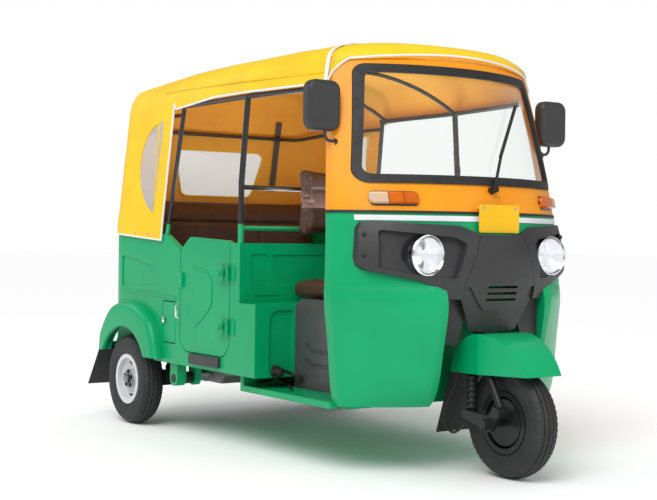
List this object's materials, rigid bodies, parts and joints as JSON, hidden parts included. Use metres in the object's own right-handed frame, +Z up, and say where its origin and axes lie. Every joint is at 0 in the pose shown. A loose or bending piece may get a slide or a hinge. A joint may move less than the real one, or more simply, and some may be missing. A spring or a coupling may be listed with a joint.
{
  "type": "auto rickshaw",
  "caption": "Three-wheeled passenger auto rickshaw: steel tub with doors and a bench, fabric canopy on tube bows, driver's cab with windscreen, steered front wheel.",
  "frame": {"origin": "middle of the overall length and width, at ground level under the tyres", "axes": "+X forward, +Y to the vehicle's left, +Z up"},
  "size_m": [2.6119, 1.332, 1.7044],
  "materials": {
    "tyre": "black moulded tyre rubber",
    "rim_silver": "silver painted pressed steel",
    "rim_black": "black painted pressed steel",
    "body_green": "gloss sea-green paint",
    "cowl_orange": "gloss orange paint",
    "vinyl_yellow": "yellow coated canvas",
    "seat_brown": "brown seat vinyl",
    "black_plastic": "textured black plastic",
    "black_metal": "satin black paint",
    "rubber": "matt black rubber",
    "glass": "clear glass",
    "clear_film": "clear flexible window film",
    "lamp_clear": "clear moulded lens",
    "lamp_chrome": "bright reflector",
    "lamp_amber": "amber lens",
    "lamp_red": "red lens",
    "plate": "blank yellow plate",
    "steel": "bare steel",
    "cast": "cast alloy",
    "grey_plastic": "grey moulded plastic"
  },
  "bodies": {
    "body": {"arm_brackets": "body_green", "belt_welt": "rubber", "bench_back": "seat_brown", "bench_box": "body_green", "bench_cushion": "seat_brown", "cabin_frame": "black_metal", "canopy": "vinyl_yellow", "canopy_visor": "vinyl_yellow", "canopy_windows": "clear_film", "dashboard": "black_plastic", "door_steps": "black_plastic", "drive_shafts": "steel", "driver_floor": "body_green", "engine_block": "cast", "foot_pedal": "black_metal", "front_cowl": "body_green", "headlamp_bowls": "lamp_chrome", "headlamp_lenses": "lamp_clear", "indicator_lamps": "lamp_amber", "lamp_surrounds": "black_plastic", "mirrors": "black_plastic", "nose_panel": "black_plastic", "number_plate": "plate", "partition": "body_green", "rear_bumper": "black_metal", "rear_fenders": "body_green", "rear_flaps": "rubber", "rear_panel": "body_green", "rear_springs": "black_metal", "seat_back": "seat_brown", "seat_box": "grey_plastic", "seat_cushion": "seat_brown", "side_panel_left": "body_green", "side_panel_right": "body_green", "silencer": "steel", "steering_head": "black_metal", "tail_lamps": "lamp_red", "trailing_arms": "black_metal", "upper_cowl": "cowl_orange", "wheel_houses": "body_green", "windscreen": "glass", "windscreen_seal": "rubber", "wiper": "black_metal"},
    "steering": {"brake_hose": "rubber", "fork_stem": "black_metal", "front_flap": "rubber", "front_mudguard": "body_green", "front_spring": "black_metal", "handlebar": "black_metal", "swing_link": "black_metal"},
    "front_wheel": {"front_tyre": "tyre", "front_rim": "rim_black"},
    "rear_wheel_right": {"rear_right_tyre": "tyre", "rear_right_rim": "rim_silver"},
    "rear_wheel_left": {"rear_left_tyre": "tyre", "rear_left_rim": "rim_silver"},
    "right_door": {"door_right": "body_green"},
    "left_door": {"door_left": "body_green"},
    "rear_lid": {"engine_lid": "body_green"},
    "hatch": {"side_hatch": "body_green"}
  },
  "joints": [
    {"name": "steering_turn", "type": "hinge", "parent": "body", "child": "steering", "pos_m": [1.054, 0, 0.212], "axis": [-0.4226, 0, 0.9063], "range_deg": [-40, 40]},
    {"name": "front_wheel_spin", "type": "hinge", "parent": "steering", "child": "front_wheel", "pos_m": [1.094, 0, 0.212], "axis": [0, 1, 0], "continuous": true},
    {"name": "rear_wheel_right_spin", "type": "hinge", "parent": "body", "child": "rear_wheel_right", "pos_m": [-0.906, -0.575, 0.212], "axis": [0, 1, 0], "continuous": true},
    {"name": "rear_wheel_left_spin", "type": "hinge", "parent": "body", "child": "rear_wheel_left", "pos_m": [-0.906, 0.575, 0.212], "axis": [0, 1, 0], "continuous": true},
    {"name": "right_door_swing", "type": "hinge", "parent": "body", "child": "right_door", "pos_m": [0.0145, -0.612, 0.6275], "axis": [0, 0, 1], "range_deg": [0, 85]},
    {"name": "left_door_swing", "type": "hinge", "parent": "body", "child": "left_door", "pos_m": [0.0145, 0.612, 0.6275], "axis": [0, 0, -1], "range_deg": [0, 85]},
    {"name": "rear_lid_swing", "type": "hinge", "parent": "body", "child": "rear_lid", "pos_m": [-1.198, 0, 0.7225], "axis": [0, 1, 0], "range_deg": [0, 80]},
    {"name": "hatch_swing", "type": "hinge", "parent": "body", "child": "hatch", "pos_m": [-0.469, -0.593, 0.505], "axis": [0, 0, 1], "range_deg": [0, 90]}
  ]
}
